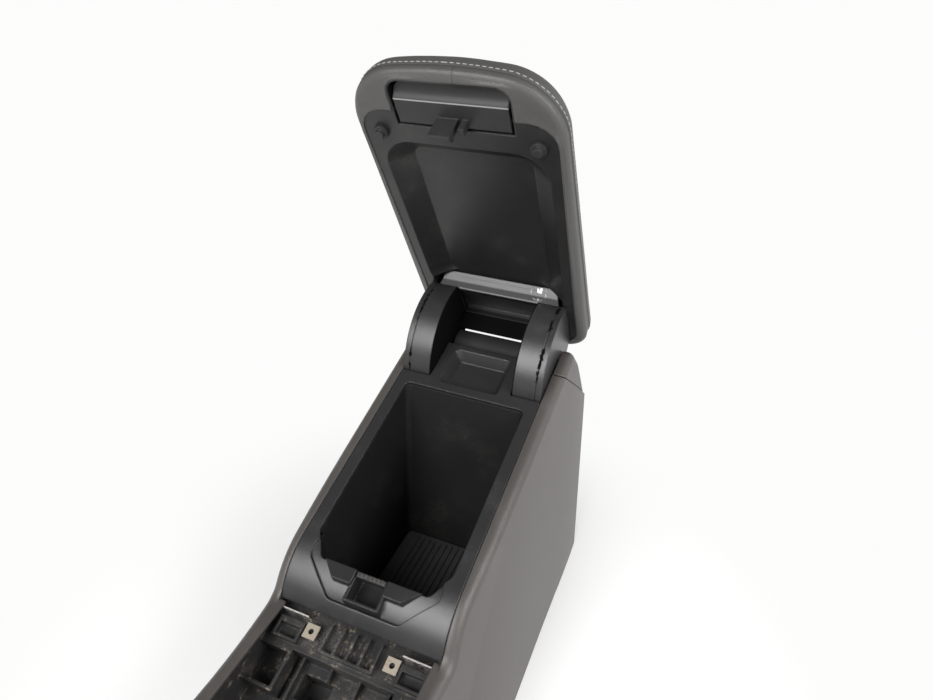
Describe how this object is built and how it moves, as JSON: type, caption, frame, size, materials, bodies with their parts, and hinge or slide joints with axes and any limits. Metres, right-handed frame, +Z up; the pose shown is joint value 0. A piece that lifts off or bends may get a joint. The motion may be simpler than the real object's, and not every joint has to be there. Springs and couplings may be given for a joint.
{
  "type": "center console",
  "caption": "Car center console with a deep storage bin, an upholstered armrest lid standing open on a friction hinge, and a sprung latch lever",
  "frame": {"origin": "centre of the four floor fixings, on the floor that the console stands on", "axes": "+X across the console, to the right in the picture; +Y to the car's rear; +Z up"},
  "size_m": [0.2334, 0.6063, 0.5619],
  "materials": {
    "panel_plastic": "grained",
    "trim_plastic": "grained",
    "liner_plastic": "moulded",
    "mat_rubber": "ribbed",
    "keeper_plastic": "moulded",
    "carrier_plastic": "moulded",
    "clip_steel": "passivated",
    "nut_steel": "passivated",
    "zinc_steel": "zinc plated",
    "hinge_plastic": "grained, scuffed",
    "lid_leather": "stitched",
    "lid_plastic": "fine grained",
    "bumper_rubber": "moulded",
    "lever_plastic": "moulded"
  },
  "bodies": {
    "console": {"left_side_panel": "panel_plastic", "right_side_panel": "panel_plastic", "side_panel_screws": "zinc_steel", "top_cover": "trim_plastic", "bin_liner": "liner_plastic", "bin_mat": "mat_rubber", "liner_screws": "zinc_steel", "latch_keeper": "keeper_plastic", "rear_cover": "panel_plastic", "carrier_frame": "carrier_plastic", "trim_clips": "clip_steel", "spring_nuts": "nut_steel", "hinge_bracket": "zinc_steel", "hinge_bracket_screws": "zinc_steel", "hinge_bushes": "liner_plastic", "friction_washers": "zinc_steel"},
    "lid": {"hinge_pin": "zinc_steel", "retaining_clips": "zinc_steel", "left_hinge_arm": "zinc_steel", "right_hinge_arm": "zinc_steel", "hinge_arm_screws": "zinc_steel", "hinge_front_cover": "hinge_plastic", "left_hinge_side_cover": "hinge_plastic", "right_hinge_side_cover": "hinge_plastic", "lid_core": "liner_plastic", "lid_pad": "lid_leather", "lid_inner_panel": "lid_plastic", "lid_bumpers": "bumper_rubber", "latch_pin": "zinc_steel", "latch_spring": "zinc_steel"},
    "latch": {"latch_lever": "lever_plastic"}
  },
  "joints": [
    {"name": "lid_hinge", "type": "hinge", "parent": "console", "child": "lid", "pos_m": [0, 0.23541, 0.24058], "axis": [1, 0, 0], "range_deg": [0, 78]},
    {"name": "latch_lever_pivot", "type": "hinge", "parent": "lid", "child": "latch", "pos_m": [0, 0.13292, 0.51947], "axis": [-1, 0, 0], "range_deg": [0, 12], "stiffness_Nm_per_rad": 0.3, "springref_deg": -8.59}
  ]
}
